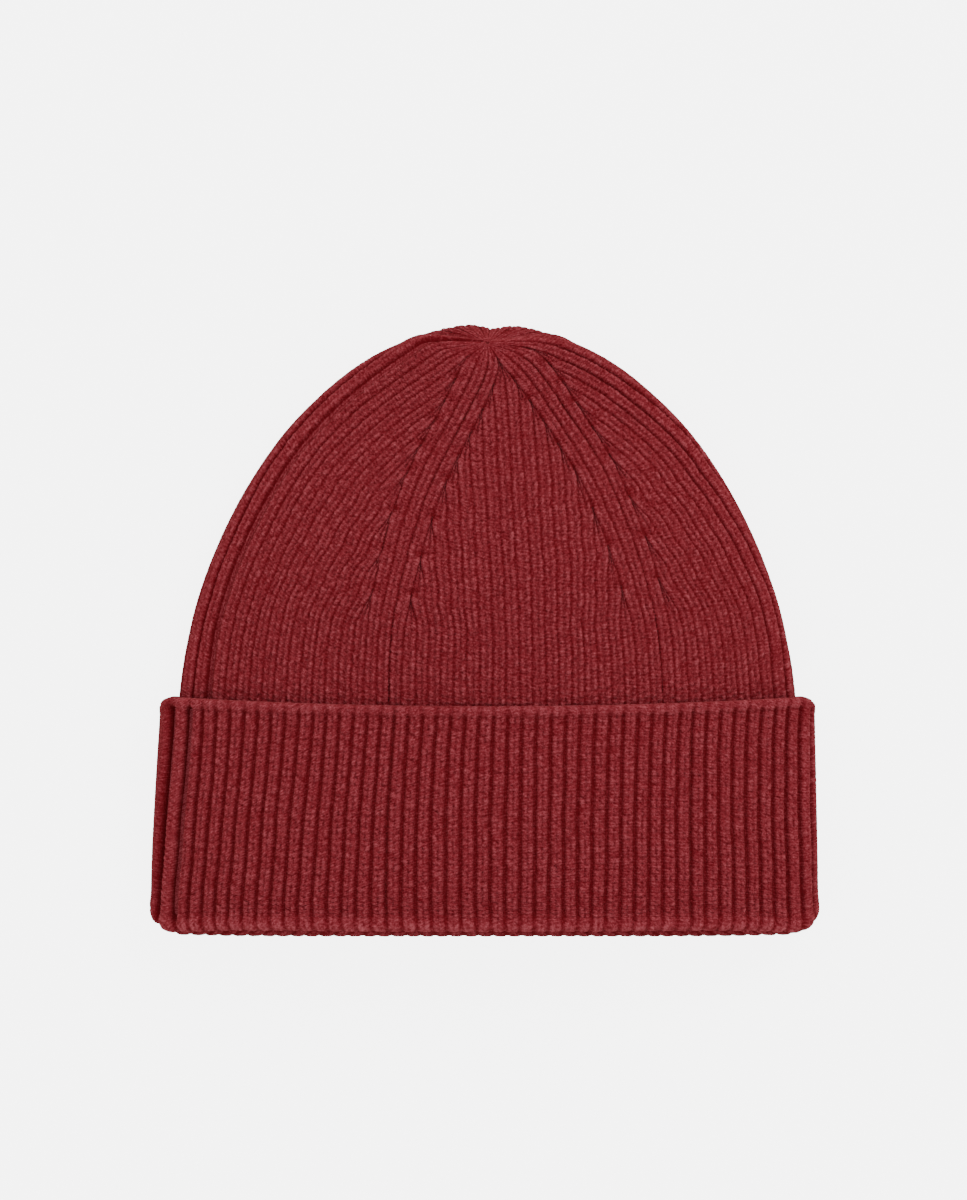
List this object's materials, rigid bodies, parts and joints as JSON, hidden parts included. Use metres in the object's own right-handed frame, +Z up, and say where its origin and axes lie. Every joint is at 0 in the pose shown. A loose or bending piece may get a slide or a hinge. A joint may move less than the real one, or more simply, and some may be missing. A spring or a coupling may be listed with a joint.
{
  "type": "ribbed knit beanie",
  "caption": "Rib-knitted beanie with a deep turned-up cuff and a crown shaped along four spines, lying flat on its back with its mouth open.",
  "frame": {"origin": "middle of the hat's outline as it lies, on the surface under it", "axes": "+Z up out of the surface, +Y from the mouth to the gathered tip, +X across the hat to the right as seen from above"},
  "size_m": [0.2289, 0.2093, 0.0374],
  "materials": {
    "yarn": "matt, slightly fuzzy ribbed knit in brick-red woollen yarn"
  },
  "bodies": {
    "root": {"knitted_shell": "yarn"}
  },
  "joints": []
}
